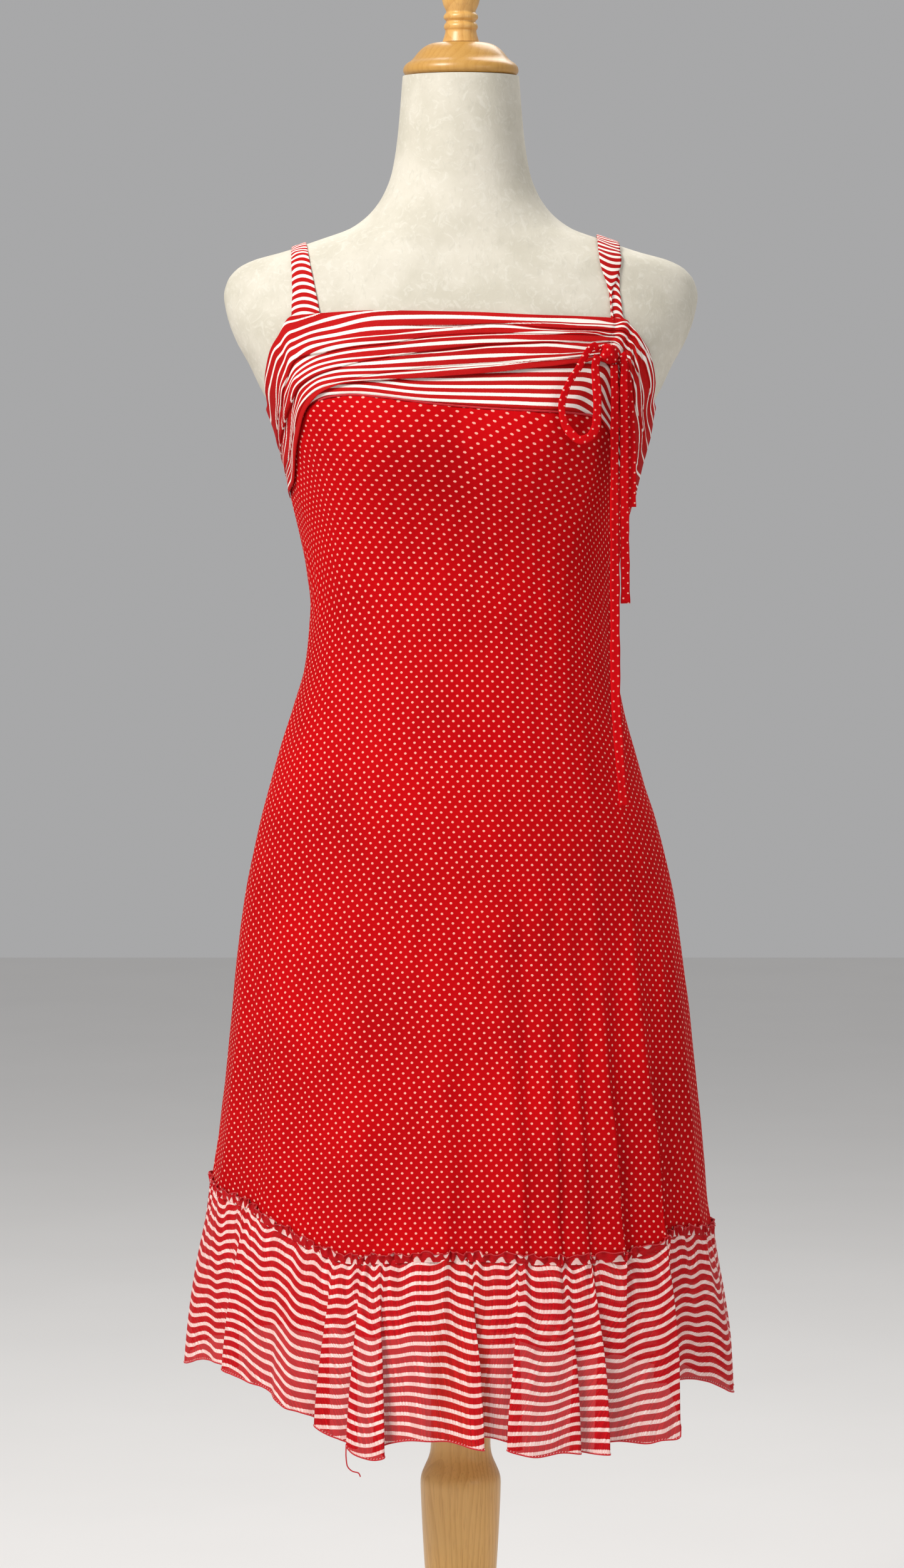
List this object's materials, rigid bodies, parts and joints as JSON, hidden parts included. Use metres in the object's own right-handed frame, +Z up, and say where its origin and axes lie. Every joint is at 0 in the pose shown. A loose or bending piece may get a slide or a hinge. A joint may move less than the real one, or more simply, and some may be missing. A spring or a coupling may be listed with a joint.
{
  "type": "polka dot dress on a dress form",
  "caption": "Strappy dotted jersey dress with a gathered striped yoke, side tie and striped chiffon hem ruffle, worn by a limbless form on a turned wooden stand.",
  "frame": {"origin": "centre of the round foot's underside", "axes": "+Z up along the pole, the dress's front faces -Y, +X is the viewer's right"},
  "size_m": [0.4739, 0.3611, 1.622],
  "materials": {
    "padding_cloth": "mottled off-white cover, matt",
    "pine": "golden pine, satin lacquer",
    "dotted_jersey": "bright red jersey with small cream dots",
    "striped_jersey": "red and white striped jersey",
    "striped_chiffon": "crinkled half-sheer chiffon, red and pale pink stripes",
    "dotted_ribbon": "flat red tie with cream dots"
  },
  "bodies": {
    "root": {"form_body": "padding_cloth", "neck_cap": "pine", "finial": "pine", "pole": "pine", "base": "pine", "dress_front": "dotted_jersey", "dress_back": "dotted_jersey", "bust_band": "striped_jersey", "bust_drape": "striped_jersey", "back_band": "striped_jersey", "strap_left": "striped_jersey", "strap_right": "striped_jersey", "ruffle_front": "striped_chiffon", "ruffle_back": "striped_chiffon", "tie_knot": "dotted_ribbon", "tie_loop": "dotted_ribbon", "tie_tail_long": "dotted_ribbon", "tie_tail_mid": "dotted_ribbon", "tie_tail_short": "dotted_ribbon"}
  },
  "joints": []
}
